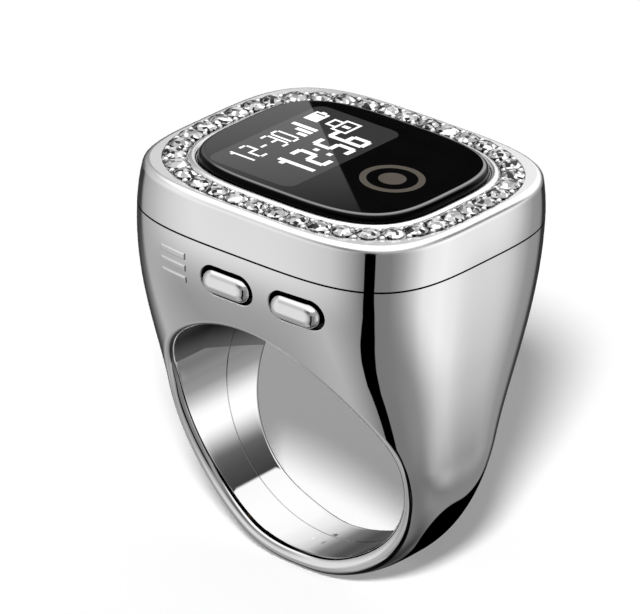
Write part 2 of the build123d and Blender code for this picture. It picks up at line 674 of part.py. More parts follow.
def contact_bushes():
    """Insulating bush around each contact pin."""
    start = BORE_R + CONTACT_RECESS
    outside = CONTACT_DIAMETER + 2 * BUSH_WALL
    bush = post(0, 0, start, outside, BUSH_TOP_Z - start)
    bush += post(0, 0, FLOOR_Z, outside + 2 * CONTACT_LIP, BUSH_FLANGE)
    bush -= post(0, 0, start, CONTACT_DIAMETER, BUSH_TOP_Z - start)
    return Compound(children=[Pos(x, y, 0) * bush for x, y in CONTACTS])


def charge_flex():
    """Flat cable from the contact pins, past the end of the cell, up to the board."""
    low = CONTACT_TOP_Z + FLEX_THICKNESS / 2
    out = BATTERY_END_X + TAB_THICKNESS + FLEX_THICKNESS
    strip = ribbon(
        [(-CONTACT_DIAMETER / 2, low), (out, low), (out, BOARD_Z)],
        FLEX_THICKNESS,
        FLEX_THICKNESS,
        CHARGE_FLEX_WIDTH,
        0,
        0,
        0,
    )
    length = CONTACT_PITCH + CONTACT_DIAMETER
    return strip + box(0, 0, CONTACT_TOP_Z, CONTACT_DIAMETER, length, FLEX_THICKNESS)


def button(x):
    """Pill-shaped cap on a round stem, grooved for its seal and its clip."""
    cap = along_y(x, BUTTON_Z, CAP_Y, CAP_BACK_Y, SlotOverall(BUTTON_LENGTH, BUTTON_HEIGHT))
    cap = fillet(cap.faces().sort_by(Axis.Y)[0].edges(), BUTTON_ROUND)
    cap += along_y(x, BUTTON_Z, CAP_BACK_Y, STEM_END_Y, Circle(STEM_R))
    seal_groove = Circle(STEM_R) - Circle(STEM_HOLE_R - SEAL_SECTION - 2 * SEAL_CLEARANCE)
    half_groove = SEAL_SECTION / 2 + SEAL_CLEARANCE
    cap -= along_y(x, BUTTON_Z, SEAL_Y - half_groove, SEAL_Y + half_groove, seal_groove)
    clip_groove = Circle(STEM_R) - Circle(STEM_R - CLIP_DEPTH)
    return cap - along_y(x, BUTTON_Z, CLIP_Y, CLIP_Y + CLIP_THICKNESS, clip_groove)


def button_seal(x):
    """Rubber ring in the stem's groove."""
    section = SEAL_SECTION / 2
    ring = Torus(STEM_HOLE_R - SEAL_CLEARANCE - section, section)
    return Pos(x, SEAL_Y, BUTTON_Z) * (Rot(90, 0, 0) * ring)


def button_clip(x):
    """Open ring that keeps the stem from coming out."""
    inside = STEM_R - CLIP_DEPTH + CLIP_CLEARANCE
    ring = Circle(inside + CLIP_WIDTH) - Circle(inside)
    ring -= Pos(0, -STEM_DIAMETER) * Rectangle(CLIP_MOUTH, 2 * STEM_DIAMETER)
    return along_y(x, BUTTON_Z, CLIP_Y, CLIP_Y + CLIP_THICKNESS, ring)


def switch_housing(x):
    """Case of a tactile switch, open in front for its plunger."""
    case = along_y(x, BUTTON_Z, SWITCH_Y, SWITCH_BOARD_Y, Rectangle(SWITCH_LENGTH, SWITCH_HEIGHT))
    depth = PLUNGER_SEATED + BUTTON_TRAVEL + BUTTON_STOP_GAP
    hole = Circle(PLUNGER_DIAMETER / 2 + PLUNGER_CLEARANCE)
    return case - along_y(x, BUTTON_Z, SWITCH_Y, SWITCH_Y + depth, hole)


def switch_plunger(x):
    """Plunger of a tactile switch, pushed by the button's stem."""
    return along_y(x, BUTTON_Z, PLUNGER_Y, SWITCH_Y + PLUNGER_SEATED, Circle(PLUNGER_DIAMETER / 2))


def switch_board():
    """Upright board behind the two switches, standing on the floor and reaching the main board."""
    y = SWITCH_BOARD_Y + SWITCH_BOARD_THICKNESS / 2
    height = BOARD_Z - FLOOR_Z
    return box(BUTTON_CENTRE_X, y, FLOOR_Z, SWITCH_BOARD_LENGTH, SWITCH_BOARD_THICKNESS, height)


SINGLE_PIECES = [
    ring_body,
    top_cover,
    cover_gasket,
    stone_setting,
    halo_stones,
    window_glass,
    window_adhesive,
    display_panel,
    display_adhesive,
    display_flex,
    display_connector,
    touch_electrode,
    main_board,
    processor_chip,
    charger_chip,
    clock_crystal,
    chip_antenna,
    board_passives,
    inner_frame,
    frame_screws,
    battery_cell,
    battery_tape,
    battery_tabs,
    motor_base,
    motor_can,
    motor_shaft,
    motor_rotor,
    motor_tape,
    charge_contacts,
    contact_bushes,
    charge_flex,
    switch_board,
]
BUTTON_PIECES = [button, button_seal, button_clip, switch_housing, switch_plunger]

os.makedirs("parts", exist_ok=True)
for piece in SINGLE_PIECES:
    export_step(piece(), f"parts/{piece.__name__}.step")
for side, x in BUTTONS.items():
    for piece in BUTTON_PIECES:
        export_step(piece(x), f"parts/{side}_{piece.__name__}.step")
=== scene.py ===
from math import cos, copysign, hypot, pi, radians, sin

import bmesh
import bpy
import numpy as np
from mathutils import Matrix, Vector


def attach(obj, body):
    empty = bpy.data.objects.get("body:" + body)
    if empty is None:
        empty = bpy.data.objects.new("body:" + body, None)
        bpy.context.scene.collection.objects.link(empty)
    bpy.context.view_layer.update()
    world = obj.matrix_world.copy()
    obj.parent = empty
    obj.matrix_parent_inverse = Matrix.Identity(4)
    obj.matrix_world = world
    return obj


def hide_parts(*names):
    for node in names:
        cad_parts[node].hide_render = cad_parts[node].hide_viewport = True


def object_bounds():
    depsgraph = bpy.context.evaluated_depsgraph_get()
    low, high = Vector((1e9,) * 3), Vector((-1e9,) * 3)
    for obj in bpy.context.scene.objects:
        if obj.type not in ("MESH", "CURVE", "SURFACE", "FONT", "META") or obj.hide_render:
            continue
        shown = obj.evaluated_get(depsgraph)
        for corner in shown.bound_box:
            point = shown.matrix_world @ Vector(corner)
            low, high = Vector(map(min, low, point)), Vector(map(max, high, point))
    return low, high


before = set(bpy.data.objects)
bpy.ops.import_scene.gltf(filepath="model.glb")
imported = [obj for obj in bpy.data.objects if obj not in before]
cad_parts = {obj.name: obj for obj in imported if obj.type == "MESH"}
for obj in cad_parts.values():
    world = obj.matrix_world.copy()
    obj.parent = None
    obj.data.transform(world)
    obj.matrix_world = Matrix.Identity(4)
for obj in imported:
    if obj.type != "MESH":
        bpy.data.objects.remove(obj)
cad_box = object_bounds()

# A chrome finger ring with a small display under glass, a halo of cut stones and two push buttons.
# Sizes are written in millimetres and turned into metres with MM. TINY keeps roots and divisions off zero,
# HAIR is too small a distance to count, vertices closer than MERGE become one, and a plain circle has
# ROUND_STEPS corners.
MM = 0.001
DEGREES = 180 / pi
TINY = 1e-6
HAIR = 0.001
MERGE = 0.0001
ROUND_STEPS = 96

# Spans of angles, in degrees: a whole turn, a half turn from the crown, and heights below the horizon
ALL_ROUND = (-180, 180)
HALF_ROUND = (0, 180)
BELOW_HORIZON = (-90, 0)

# Window glass, with a painted highlight line round its rounded edge
GLASS_HALF_X = 9.55
GLASS_HALF_Y = 8.2
FACE_POWER = 3.45
GLASS_Z = 18.75
GLASS_TOP_Z = 20.25
GLASS_ROUND = 0.5
GLASS_STEPS = 192
GLASS_IOR = 1.52
GLASS_CLOUD = 400.0
GLASS_ROUGHNESS = 0.015
GLASS_SMEAR = 0.02
GLASS_DARK = 0.002
GLASS_HAZE = 0.003
PAINTED_GLINT_BELOW = (20.13, 20.228)
PAINTED_GLINT_ABOVE = (20.2375, 20.232)
PAINTED_GLINT_TONE = 0.26
INLAY_DEPTH = 0.012

# Bead round the glass, and the rim
BEZEL_SIDES = (0.05, 0.745)
BEZEL_Z = 19.5
BEZEL_HEIGHT = 0.25
BEZEL_STEPS = 12
RIM_Z = 19.55

# Stones. The rings of a stone's corners: how many, their turn in eighths, share of its radius and height
STONE_R = 0.85
STONE_COUNT = 40
STONE_PROUD = 0.02
STONE_Z = RIM_Z + STONE_PROUD
STONE_CUT = [
    (8, 0.5, 0.56, 0.34),
    (8, 0.0, 0.80, 0.21),
    (16, 0.25, 1.0, 0.08),
    (16, 0.25, 1.0, 0.0),
    (8, 0.5, 0.34, -0.50),
    (8, 0.0, 0.05, -0.70),
]
HALO_SHIFT = 1.65
HALO_STEPS = 7200
# Painted sparkle of the stones: the fineness of its fields and their tones of light and dark
STONE_SPARKLE_FIELDS = 3300.0
STONE_SPARKLE_TONES = [(0.0, 0.02), (0.2, 0.05), (0.26, 0.3), (0.66, 0.55), (0.74, 0.9), (1.0, 1.0)]
STONE_ROUGHNESS = 0.02
STONE_DULLNESS = 0.06

# Outside of the ring and its finger bore
BAND_WIDTH = 7.2
BAND_ROUND = 1.9
BOTTOM_Z = -11.65
BAND_Z = 0.55
BAND_R = 12.2
PARTING_Z = 16.2
HEAD_HALF_X = 13.0
HEAD_HALF_Y = 11.65
HEAD_POWER = 3.7
HEAD_LEAN = 0.3
SIDE_SWELL = 0.14
BORE_R = 10.0
BORE_EDGE_ROUND = 0.6
COVER_ROUND = 0.55

# Mirror faces of the two castings: how finely they are divided, what lies on them, and how they are found
LONGEST_EDGE = 0.55
SHORTEST_EDGE = 0.06
MOST_BEND = radians(9)
DIVIDE_ROUNDS = 3
EDGE_REACH = 0.15
ON_FACE = 0.04
SAME_WAY = 0.8
FAR_OFF = 9.0
SLOPE_STEP = 0.002
FACE_ROUNDS = 4
EDGE_ROUNDS = 10

# Button pockets in the front face, and three raised bars beside them
BUTTON_X = (-1.14, 4.98)
BUTTON_Z = 13.6
BUTTON_LENGTH = 4.15
BUTTON_HEIGHT = 1.86
POCKET_R = 1.19
POCKET_FRONT = -8.0
MARK_X = -6.1
MARK_Z = 13.7
MARK_LENGTH = 2.4
MARK_BAR = 0.5
MARK_PITCH = 0.95
MARK_PROUD = 0.1
MARK_SUNK = 0.1
MARK_ROUND = 0.06

# Finishes: a polish's cloud and marks, a moulding's grain and a sheet's drawn lines
POLISH_CLOUD = 180.0
POLISH_MARKS = 900.0
POLISH_STRETCH = (1.0, 1.0, 0.2)
GRAIN_SCALE = 1500.0
GRAIN_ROUGHNESS = 0.12
GRAIN_DEPTH = 0.02
DRAWN_SCALE = 2500.0
DRAWN_ROUGHNESS = 0.15
DRAWN_BUMP = 0.1
DRAWN_DEPTH = 0.01

# Tone of the ring's metal: painted shade in black in the pockets and the parting gap, a painted dark
# reflection line, painted light and shade in the bore by degrees from its crown, painted shade round the
# waist, and painted light on a duller rim
PAINTED_BLACK = 0.008
PARTING_MIDDLE = 16.26
PARTING_PAINTED_SHADE = 0.072
BORE_SLACK = 0.03
# Painted light and shade on the bore's wall by degrees from its crown, then painted shade at the crown itself
BORE_PAINTED_TONES = [
    (66, 1.0), (80, 0.73), (86, 0.38), (92, 0.38), (97, 0.68),
    (102, 1.1), (106, 1.25), (120, 1.3), (128, 1.05), (132, 1.0),
]
BORE_BRIGHTEST = 1.3
CROWN_TURN = (72.5, 78.0)
CROWN_SLANT = 1.9
CROWN_FADE = 18.0
CROWN_PAINTED_SHADE = 0.32
CROWN_ROUGHNESS = 0.5
# Painted shade round the waist
WAIST_BELOW = (-2.8, 1.0)
WAIST_ABOVE = (7.0, -0.5)
WAIST_Y = -1.0
WAIST_SIDES = (4.6, 1.5)
WAIST_PAINTED_SHADE = 0.62
# Painted light on the rim, which is also duller
RIM_HEIGHTS = (18.95, 19.25)
RIM_PAINTED_LIGHT = 0.28
RIM_ROUGHNESS = 0.22

# Painted dark reflection line on the front face beside the bore's rounded edge: how far beyond the bore it
# starts and ends, by degrees from the foot towards +X
PAINTED_LINE_NEAR = [
    (-100, 0.95), (-30, 1.0), (0, 1.15), (15, 1.2), (35, 1.21),
    (55, 1.0), (70, 0.83), (83, 0.73), (92, 0.74), (106, 0.9),
]
PAINTED_LINE_FAR = [
    (-100, 1.15), (-30, 1.25), (0, 1.5), (35, 1.48), (55, 1.23),
    (70, 1.02), (83, 0.91), (92, 0.91), (98, 0.94), (106, 1.01),
]
PAINTED_LINE_MOST = 2
PAINTED_LINE_SOFT = (-0.03, 0.03)
PAINTED_LINE_TOP = (3.6, 2.7)

# Display dots: columns run along +Y, rows along +X. A digit has a width, a height and a stroke, in dots
DOT = 0.2
DOT_COLUMNS = 54
DOT_ROWS = 32
DOT_START_X = -6.3
DOT_START_Y = -5.5
DATE_SHOWN = "12-30"
DATE_DIGIT = (5, 11, 1)
DATE_PITCH = 6
SIGNAL_COLUMN = 31
SIGNAL_PITCH = 3
SIGNAL_FOOT = 11
SIGNAL_HEIGHTS = (4, 7, 11)
TIME_SHOWN = "12:56"
TIME_DIGIT = (7, 16, 2)
TIME_COLUMN = 6
TIME_ROW = 16
TIME_PITCH = 9
COLON_ROWS = (20, 26)
COLON_PITCH = 4

# Display field and touch mark
FIELD_X = (-6.9, 0.7)
FIELD_Y = (-7.1, 6.0)
FIELD_CORNER = 0.9
TOUCH_X = 4.9
TOUCH_Y = -0.7
TOUCH_RING = (2.35, 1.85)
TOUCH_DOT = (1.0, 0.0)

# Camera
CAMERA_TURN = radians(37.189)
CAMERA_RISE = radians(25.066)
CAMERA_ROLL = radians(-2.765)
CAMERA_DISTANCE = 519.99
CAMERA_TARGET = Vector((0.0, 0.0, 5.0))
CAMERA_ASIDE = -1.024
CAMERA_ABOVE = 3.099
LENS = 407.9
SENSOR = 36.0

# Lamp, and the table top in metres
LAMP_PLACE = Vector((238.0, -397.0, 382.0))
LAMP_SPREAD = radians(9.0)
LAMP_POWER = 4.25
FILL_LIGHT = 0.2
FLOOR_SIZE = 4.0
FLOOR_CLOUD = 60.0
FLOOR_TONES = (0.95, 0.96)
FLOOR_GLOW = 0.18

# Studio that the metal mirrors: bearings in degrees from the front towards +X, heights in degrees above
# the horizon, and brightness from 0 to a little over 1
WALL_LEVELS = [
    (-180, 0.2), (-176, 0.03), (-150, 0.05), (-140, 0.13), (-130, 0.05), (-103, 0.05), (-94, 0.42),
    (-70, 0.62), (-40, 0.97), (-8, 0.73), (26, 0.23), (44, 0.235), (65, 0.255), (75, 0.34), (85, 0.45),
    (100, 0.74), (112, 1.03), (130, 1.15), (140, 1.03), (152, 0.55), (160, 0.37), (176, 0.31), (180, 0.2),
]
TABLE_LEVELS = [
    (-180, 0.28), (-170, 0.1), (-145, 0.06), (-120, 0.1), (-105, 0.35), (-95, 0.55), (-60, 0.38), (-22, 0.6),
    (0, 0.43), (26, 0.24), (44, 0.235), (70, 0.25), (110, 0.33), (140, 0.3), (180, 0.28),
]
UNDER_LEVELS = [
    (-180, 0.04), (-150, 0.03), (-125, 0.06), (-100, 0.35), (-40, 0.6),
    (20, 0.28), (55, 0.22), (90, 0.18), (150, 0.07), (180, 0.05),
]
CEILING_LEVELS = [
    (-180, 1.25), (-157, 1.23), (-147, 1.05), (-142, 0.8), (-138, 0.26), (-110, 0.45), (-75, 0.6),
    (-50, 0.97), (-25, 0.45), (0, 0.12), (40, 0.38), (85, 0.45), (120, 0.5), (132, 0.2), (143, 0.1),
    (152, 0.06), (153, 1.25), (180, 1.25),
]

# Heights at which one level starts to turn into the next and has done so. The table's two heights also
# change between two bearings
TABLE_HEIGHTS = (-22, -44)
TABLE_DROP = ((90, 140), -7)
TABLE_LIFT = ((115, 145), 4)
UNDER_HEIGHTS = (-46, -72)
CEILING_HEIGHTS = (0, 22)
SKYLIGHT_HEIGHTS = (36, 48)
SKYLIGHT = 1.3

# Black curtain beside the front: its two edges by height, and the black sheet low at the back
CURTAIN_LEFT = [
    (-80, 24), (-70, 30), (-63, 25), (-58, 15.5), (-52, 15), (-46, 18), (-41, 22), (-35, 26), (-25, 27.5),
]
CURTAIN_RIGHT = [
    (-80, 60), (-70, 50), (-60, 47), (-57, 40), (-52, 38.5), (-46, 40.5), (-41, 42.8), (-33, 44), (-25, 42.5),
]
CURTAIN_MOST = 90
CURTAIN_SOFT = (-0.5, 0.5)
CURTAIN_TOP = (4, 16)
SHEET_BEARING = 183
SHEET_HEIGHT = -45.5
SHEET_TILT = radians(22)
SHEET_HALF_LENGTH = 32
SHEET_HALF_WIDTH = 11
SHEET_SOFT = (0.92, 1.08)

# Card over the glass, and the two ends of the slanting line in its reflection
CARD_RISE = 17.0
CARD_MARGIN = 0.1
GLARE_START = (-8.3, 6.3)
GLARE_END = (6.7, -6.6)
GLARE_LOWEST = 0.12


class Wire:
    """One output of a finish's nodes; arithmetic on it adds Math nodes."""

    def __init__(self, finish, socket):
        self.finish = finish
        self.socket = socket

    def math(self, operation, first, second=0.0):
        return self.finish.add("Math", {"operation": operation}, {0: first, 1: second})

    def __add__(self, other):
        return self.math("ADD", self, other)

    __radd__ = __add__

    def __sub__(self, other):
        return self.math("SUBTRACT", self, other)

    def __rsub__(self, other):
        return self.math("SUBTRACT", other, self)

    def __mul__(self, other):
        return self.math("MULTIPLY", self, other)

    __rmul__ = __mul__

    def __truediv__(self, other):
        return self.math("DIVIDE", self, other)

    def __rtruediv__(self, other):
        return self.math("DIVIDE", other, self)

    def over(self, other):
        return self.math("GREATER_THAN", self, other)

    def at_least(self, other):
        return self.math("MAXIMUM", self, other)

    def size(self):
        return self.math("ABSOLUTE", self)

    def root(self):
        return self.math("SQRT", self)

    def turn_from(self, base):
        """Angle in degrees whose sine goes with this value and whose cosine goes with base."""
        return self.math("ARCTAN2", self, base) * DEGREES


class Finish:
    """The nodes of a material, or of the studio round the ring."""

    def __init__(self, name, tree=None):
        self.material = None
        if tree is None:
            self.material = bpy.data.materials.new(name)
            self.material.use_nodes = True
            tree = self.material.node_tree
        self.nodes = tree.nodes
        self.links = tree.links
        self.nodes.clear()

    def add(self, kind, settings=None, sockets=None, out=0):
        node = self.nodes.new("ShaderNode" + kind)
        for name, value in (settings or {}).items():
            if name == "stops":
                self.set_stops(node.color_ramp.elements, value)
            else:
                setattr(node, name, value)
        for name, value in (sockets or {}).items():
            if isinstance(value, Wire):
                self.links.new(value.socket, node.inputs[name])
            else:
                node.inputs[name].default_value = value
        return Wire(self, node.outputs[out]) if len(node.outputs) else node

    def set_stops(self, elements, stops):
        while len(elements) < len(stops):
            elements.new(1.0)
        for element, (place, value) in zip(elements, stops):
            element.position = place
            element.color = (value, value, value, 1.0)

    def place(self):
        return self.add("TexCoord", out="Object")

    def parts(self, vector):
        first = self.add("SeparateXYZ", None, {0: vector})
        return [Wire(self, socket) for socket in first.socket.node.outputs]

    def noise(self, scale, detail=3.0, stretch=None):
        place = self.place()
        if stretch:
            place = self.add("Mapping", None, {"Vector": place, "Scale": stretch})
        return self.add("TexNoise", None, {"Vector": place, "Scale": scale, "Detail": detail})

    def between(self, share, low, high):
        """A colour between two, through the sockets of the Mix node that take colours."""
        return self.add("Mix", {"data_type": "RGBA"}, {0: share, 6: shade(low), 7: shade(high)}, out=2)

    def polish(self, tone, spread):
        """A metal's tone with a slight cloud in it, and fine polishing marks."""
        cloud = self.noise(POLISH_CLOUD, 2.0)
        marks = self.noise(POLISH_MARKS, 4.0, POLISH_STRETCH)
        dark = tuple(part * (1 - spread) for part in tone)
        return self.between(cloud, dark, tone), marks

    def bump(self, height, strength, distance):
        return self.add("Bump", None, {"Height": height, "Strength": strength, "Distance": distance})

    def surface(self, **sockets):
        names = {name.replace("_", " "): value for name, value in sockets.items()}
        shader = self.add("BsdfPrincipled", None, names)
        self.add("OutputMaterial", None, {"Surface": shader})
        return self.material


def shade(value):
    """A colour from a grey or from three parts; a wire stays as it is."""
    if isinstance(value, Wire):
        return value
    parts = (value, value, value) if isinstance(value, (int, float)) else value
    return (*parts, 1.0)


def curve(along, span, stops, scale=1.0):
    """A value that follows straight runs between stops, which the ramp keeps divided by scale."""
    first, last = span
    share = along.finish.add("MapRange", None, {"Value": along, "From Min": first, "From Max": last})
    places = [((place - first) / (last - first), value / scale) for place, value in stops]
    return scale * along.finish.add("ValToRGB", {"stops": places}, {"Fac": share})


def ramp(value, first, last):
    """Goes from 0 at the first value to 1 at the last."""
    sockets = {"Value": value, "From Min": first, "From Max": last}
    return value.finish.add("MapRange", {"interpolation_type": "SMOOTHSTEP"}, sockets)


def polished(name, tone, spread, roughness, scratch):
    """Polished metal: a slight cloud in its tone, fine polishing marks in its roughness."""
    finish = Finish(name)
    metal, marks = finish.polish(tone, spread)
    return finish.surface(Base_Color=metal, Metallic=1.0, Roughness=roughness + scratch * marks)


def painted_gap_shade(x, y, z):
    """1 where shade is painted black: in the button pockets of the front face and in the parting gap."""
    run = (BUTTON_LENGTH - BUTTON_HEIGHT) / 2
    pockets = 0.0
    for middle in BUTTON_X:
        aside = ((x - middle).size() - run).at_least(0.0)
        above = z - BUTTON_Z
        off = (aside * aside + above * above).root()
        pockets = pockets + (POCKET_R - off).over(0.0)
    parting = (PARTING_PAINTED_SHADE - (z - PARTING_MIDDLE).size()).over(0.0)
    return pockets * (POCKET_FRONT - y).over(0.0) + parting


def painted_edge_reflection(x, y, z, reach):
    """1 in the painted dark reflection line on the front face beside the bore's rounded edge."""
    around = x.turn_from(0 - z)
    near = reach - curve(around, ALL_ROUND, PAINTED_LINE_NEAR, PAINTED_LINE_MOST)
    far = curve(around, ALL_ROUND, PAINTED_LINE_FAR, PAINTED_LINE_MOST) - reach
    line = ramp(near, *PAINTED_LINE_SOFT) * ramp(far, *PAINTED_LINE_SOFT)
    return line * (0 - y).over(0.0) * ramp(z, *PAINTED_LINE_TOP)


def painted_waist_shade(x, y, z):
    """Tone of the outside: 1, and less round the waist, where shade is painted."""
    waist = ramp(z, *WAIST_BELOW) * ramp(z, *WAIST_ABOVE) * ramp((y - WAIST_Y).size(), *WAIST_SIDES)
    return 1 - WAIST_PAINTED_SHADE * waist * (x.size() - BORE_R).over(0.0)


def ring_metal(tone, spread, roughness, scratch):
    """The ring's polished metal: painted black shade in the pockets and parting gap, a painted dark
    reflection line, painted light and shade in the bore, painted shade round the waist, painted light on the
    duller rim.
    """
    finish = Finish("polished_metal")
    metal, marks = finish.polish(tone, spread)
    x, y, z = (part / MM for part in finish.parts(finish.place()))
    reach = (x * x + z * z).root() - BORE_R
    # Painted black: shade in the button pockets and the parting gap, and a dark reflection beside the bore's
    # edge
    black = painted_gap_shade(x, y, z) + painted_edge_reflection(x, y, z, reach)
    bore = (BORE_SLACK - reach).over(0.0)
    # Painted light and shade in the bore, and painted shade at its crown
    turn = x.size().turn_from(z)
    deep = (CROWN_TURN[1] + CROWN_SLANT * y).at_least(CROWN_TURN[0]) - turn
    crown = bore * deep.over(0.0)
    wall = curve(turn, HALF_ROUND, BORE_PAINTED_TONES, BORE_BRIGHTEST) * (1 - crown)
    wall = wall + CROWN_PAINTED_SHADE * crown * (1 - ramp(deep, 0, CROWN_FADE))
    # Painted shade round the waist
    waist = painted_waist_shade(x, y, z)
    # Painted light on the rim, which is also made duller
    rim = ramp(z, *RIM_HEIGHTS)
    level = (waist + bore * (wall - waist)) * (1 + RIM_PAINTED_LIGHT * rim)
    metal = finish.add("VectorMath", {"operation": "SCALE"}, {0: metal, "Scale": level})
    return finish.surface(
        Base_Color=finish.between(black, metal, PAINTED_BLACK),
        Metallic=1.0,
        Roughness=roughness + scratch * marks + CROWN_ROUGHNESS * crown + RIM_ROUGHNESS * rim,
    )


def moulded(name, low, high, roughness, scale=GRAIN_SCALE, grain=0.15):
    """Dull surface with a fine grain in colour and height."""
    finish = Finish(name)
    cloud = finish.noise(scale, 3.0)
    return finish.surface(
        Base_Color=finish.between(cloud, low, high),
        Roughness=roughness + GRAIN_ROUGHNESS * cloud,
        Normal=finish.bump(cloud, grain, GRAIN_DEPTH * MM),
    )


def drawn(name, low, high, roughness, stretch):
    """Drawn or rolled metal: fine lines one way."""
    finish = Finish(name)
    lines = finish.noise(DRAWN_SCALE, 2.0, stretch)
    return finish.surface(
        Base_Color=finish.between(lines, low, high),
        Metallic=1.0,
        Roughness=roughness + DRAWN_ROUGHNESS * lines,
        Normal=finish.bump(lines, DRAWN_BUMP, DRAWN_DEPTH * MM),
    )


def cut_stone():
    """Cut stone as a mirror metal whose facets carry small fields of painted light and dark, a painted
    sparkle.
    """
    finish = Finish("clear_stone_painted_sparkle")
    cells = finish.add("TexVoronoi", None, {"Vector": finish.place(), "Scale": STONE_SPARKLE_FIELDS}, out="Color")
    field = finish.parts(cells)[0]
    return finish.surface(
        Base_Color=finish.add("ValToRGB", {"stops": STONE_SPARKLE_TONES}, {"Fac": field}),
        Metallic=1.0,
        Roughness=STONE_ROUGHNESS + STONE_DULLNESS * field,
    )


def window_black():
    """Black window glass: a high polish on top, a blackened side and a painted highlight line round the
    rounded edge.
    """
    finish = Finish("dark_glass")
    cloud = finish.noise(GLASS_CLOUD, 2.0)
    z = finish.parts(finish.place())[2] / MM
    # Painted highlight: a band of paler metal colour on the upper bevel of the glass
    painted_glint = ramp(z, *PAINTED_GLINT_BELOW) * ramp(z, *PAINTED_GLINT_ABOVE)
    return finish.surface(
        Base_Color=finish.between(PAINTED_GLINT_TONE * painted_glint + GLASS_HAZE * cloud, GLASS_DARK, 1.0),
        Metallic=(PAINTED_GLINT_ABOVE[0] - z).over(0.0),
        Roughness=GLASS_ROUGHNESS + GLASS_SMEAR * cloud,
        IOR=GLASS_IOR,
    )


def black_glass(name, low, high, glow=None):
    """Printed glass with a high polish, or a lit field behind it."""
    finish = Finish(name)
    cloud = finish.noise(GLASS_CLOUD, 2.0)
    sockets = {
        "Base_Color": finish.between(cloud, low, high),
        "Roughness": GLASS_ROUGHNESS + GLASS_SMEAR * cloud,
        "IOR": GLASS_IOR,
    }
    if glow:
        sockets["Emission_Color"] = finish.between(cloud, *glow)
        sockets["Emission_Strength"] = 1.0
    return finish.surface(**sockets)


FINISHES = {
    "polished_metal": ring_metal(tone=(0.77, 0.77, 0.775), spread=0.015, roughness=0.02, scratch=0.02),
    "button_metal": polished("button_metal", (0.78, 0.78, 0.785), spread=0.03, roughness=0.03, scratch=0.02),
    "clear_stone": cut_stone(),
    "dark_glass": window_black(),
    "seal_rubber": moulded("seal_rubber", low=0.006, high=0.012, roughness=0.6),
    "clear_adhesive": moulded("clear_adhesive", low=0.3, high=0.36, roughness=0.3),
    "foam_tape": moulded("foam_tape", low=0.02, high=0.035, roughness=0.8, scale=3000.0, grain=0.4),
    "display_cell": black_glass("display_cell", low=0.008, high=0.014),
    "flex_film": moulded("flex_film", (0.3, 0.11, 0.02), (0.36, 0.15, 0.03), roughness=0.35),
    "circuit_board": moulded("circuit_board", (0.01, 0.06, 0.03), (0.015, 0.09, 0.04), roughness=0.4),
    "chip_plastic": moulded("chip_plastic", low=0.012, high=0.02, roughness=0.5),
    "chip_ceramic": moulded("chip_ceramic", low=0.5, high=0.62, roughness=0.45),
    "frame_plastic": moulded("frame_plastic", low=0.025, high=0.035, roughness=0.5),
    "works_steel": drawn("works_steel", low=0.5, high=0.6, roughness=0.25, stretch=(1.0, 1.0, 0.1)),
    "cell_foil": drawn("cell_foil", low=0.62, high=0.72, roughness=0.35, stretch=(0.1, 1.0, 1.0)),
    "rotor_weight": drawn("rotor_weight", low=0.3, high=0.38, roughness=0.35, stretch=(1.0, 1.0, 0.1)),
    "contact_gold": polished("contact_gold", (0.86, 0.62, 0.26), spread=0.05, roughness=0.15, scratch=0.05),
}
FIELD_FINISH = black_glass("display_field", low=0.044, high=0.05)
LIT_FINISH = black_glass("display_lit", low=0.5, high=0.55, glow=(0.752, 0.8))
TOUCH_FINISH = black_glass("touch_print", (0.11, 0.097, 0.083), (0.135, 0.118, 0.1))

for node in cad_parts.values():
    for slot in node.material_slots:
        slot.material = FINISHES[slot.material.name]


def begin(name, add, **settings):
    """A new piece from a primitive, in edit mode, with nothing else selected."""
    bpy.ops.object.select_all(action="DESELECT")
    add(**settings)
    piece = bpy.context.object
    piece.name = name
    piece.data.name = name
    bpy.ops.object.mode_set(mode="EDIT")
    bpy.ops.mesh.select_all(action="SELECT")
    return piece


def select(piece, test):
    """Selects the faces whose middle passes the test, and nothing else."""
    bpy.ops.mesh.select_mode(type="FACE")
    bpy.ops.mesh.select_all(action="DESELECT")
    shell = bmesh.from_edit_mesh(piece.data)
    for face in shell.faces:
        if test(face.calc_center_median()):
            face.select_set(True)
    bmesh.update_edit_mesh(piece.data)


def reshape(piece, move):
    """Moves each vertex of the piece to where move puts it."""
    shell = bmesh.from_edit_mesh(piece.data)
    for vertex in shell.verts:
        vertex.co = move(vertex.co)
    bmesh.update_edit_mesh(piece.data)


def turn_out():
    """Turns all faces of the piece out."""
    bpy.ops.mesh.select_all(action="SELECT")
    bpy.ops.mesh.normals_make_consistent(inside=False)


def thicken(depth):
    """Gives a flat sheet its thickness, downwards, and turns its faces out."""
    bpy.ops.mesh.select_all(action="SELECT")
    bpy.ops.mesh.extrude_region_move(TRANSFORM_OT_translate={"value": (0, 0, -depth)})
    turn_out()


def done(piece, finish, body="ring", smooth=None):
    """Leaves edit mode, puts the piece's place into its mesh, and gives it a finish and a body."""
    bpy.ops.object.mode_set(mode="OBJECT")
    bpy.ops.object.transform_apply(location=True, rotation=True, scale=True)
    if smooth:
        bpy.ops.object.shade_smooth_by_angle(angle=radians(smooth))
    piece.data.materials.clear()
    piece.data.materials.append(finish)
    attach(piece, body)


def even_normals(piece):
    """Keeps large flat faces flat to the light beside rounded edges."""
    bpy.ops.object.modifier_add(type="WEIGHTED_NORMAL")
    piece.modifiers[-1].keep_sharp = True
    bpy.ops.object.modifier_apply(modifier=piece.modifiers[-1].name)


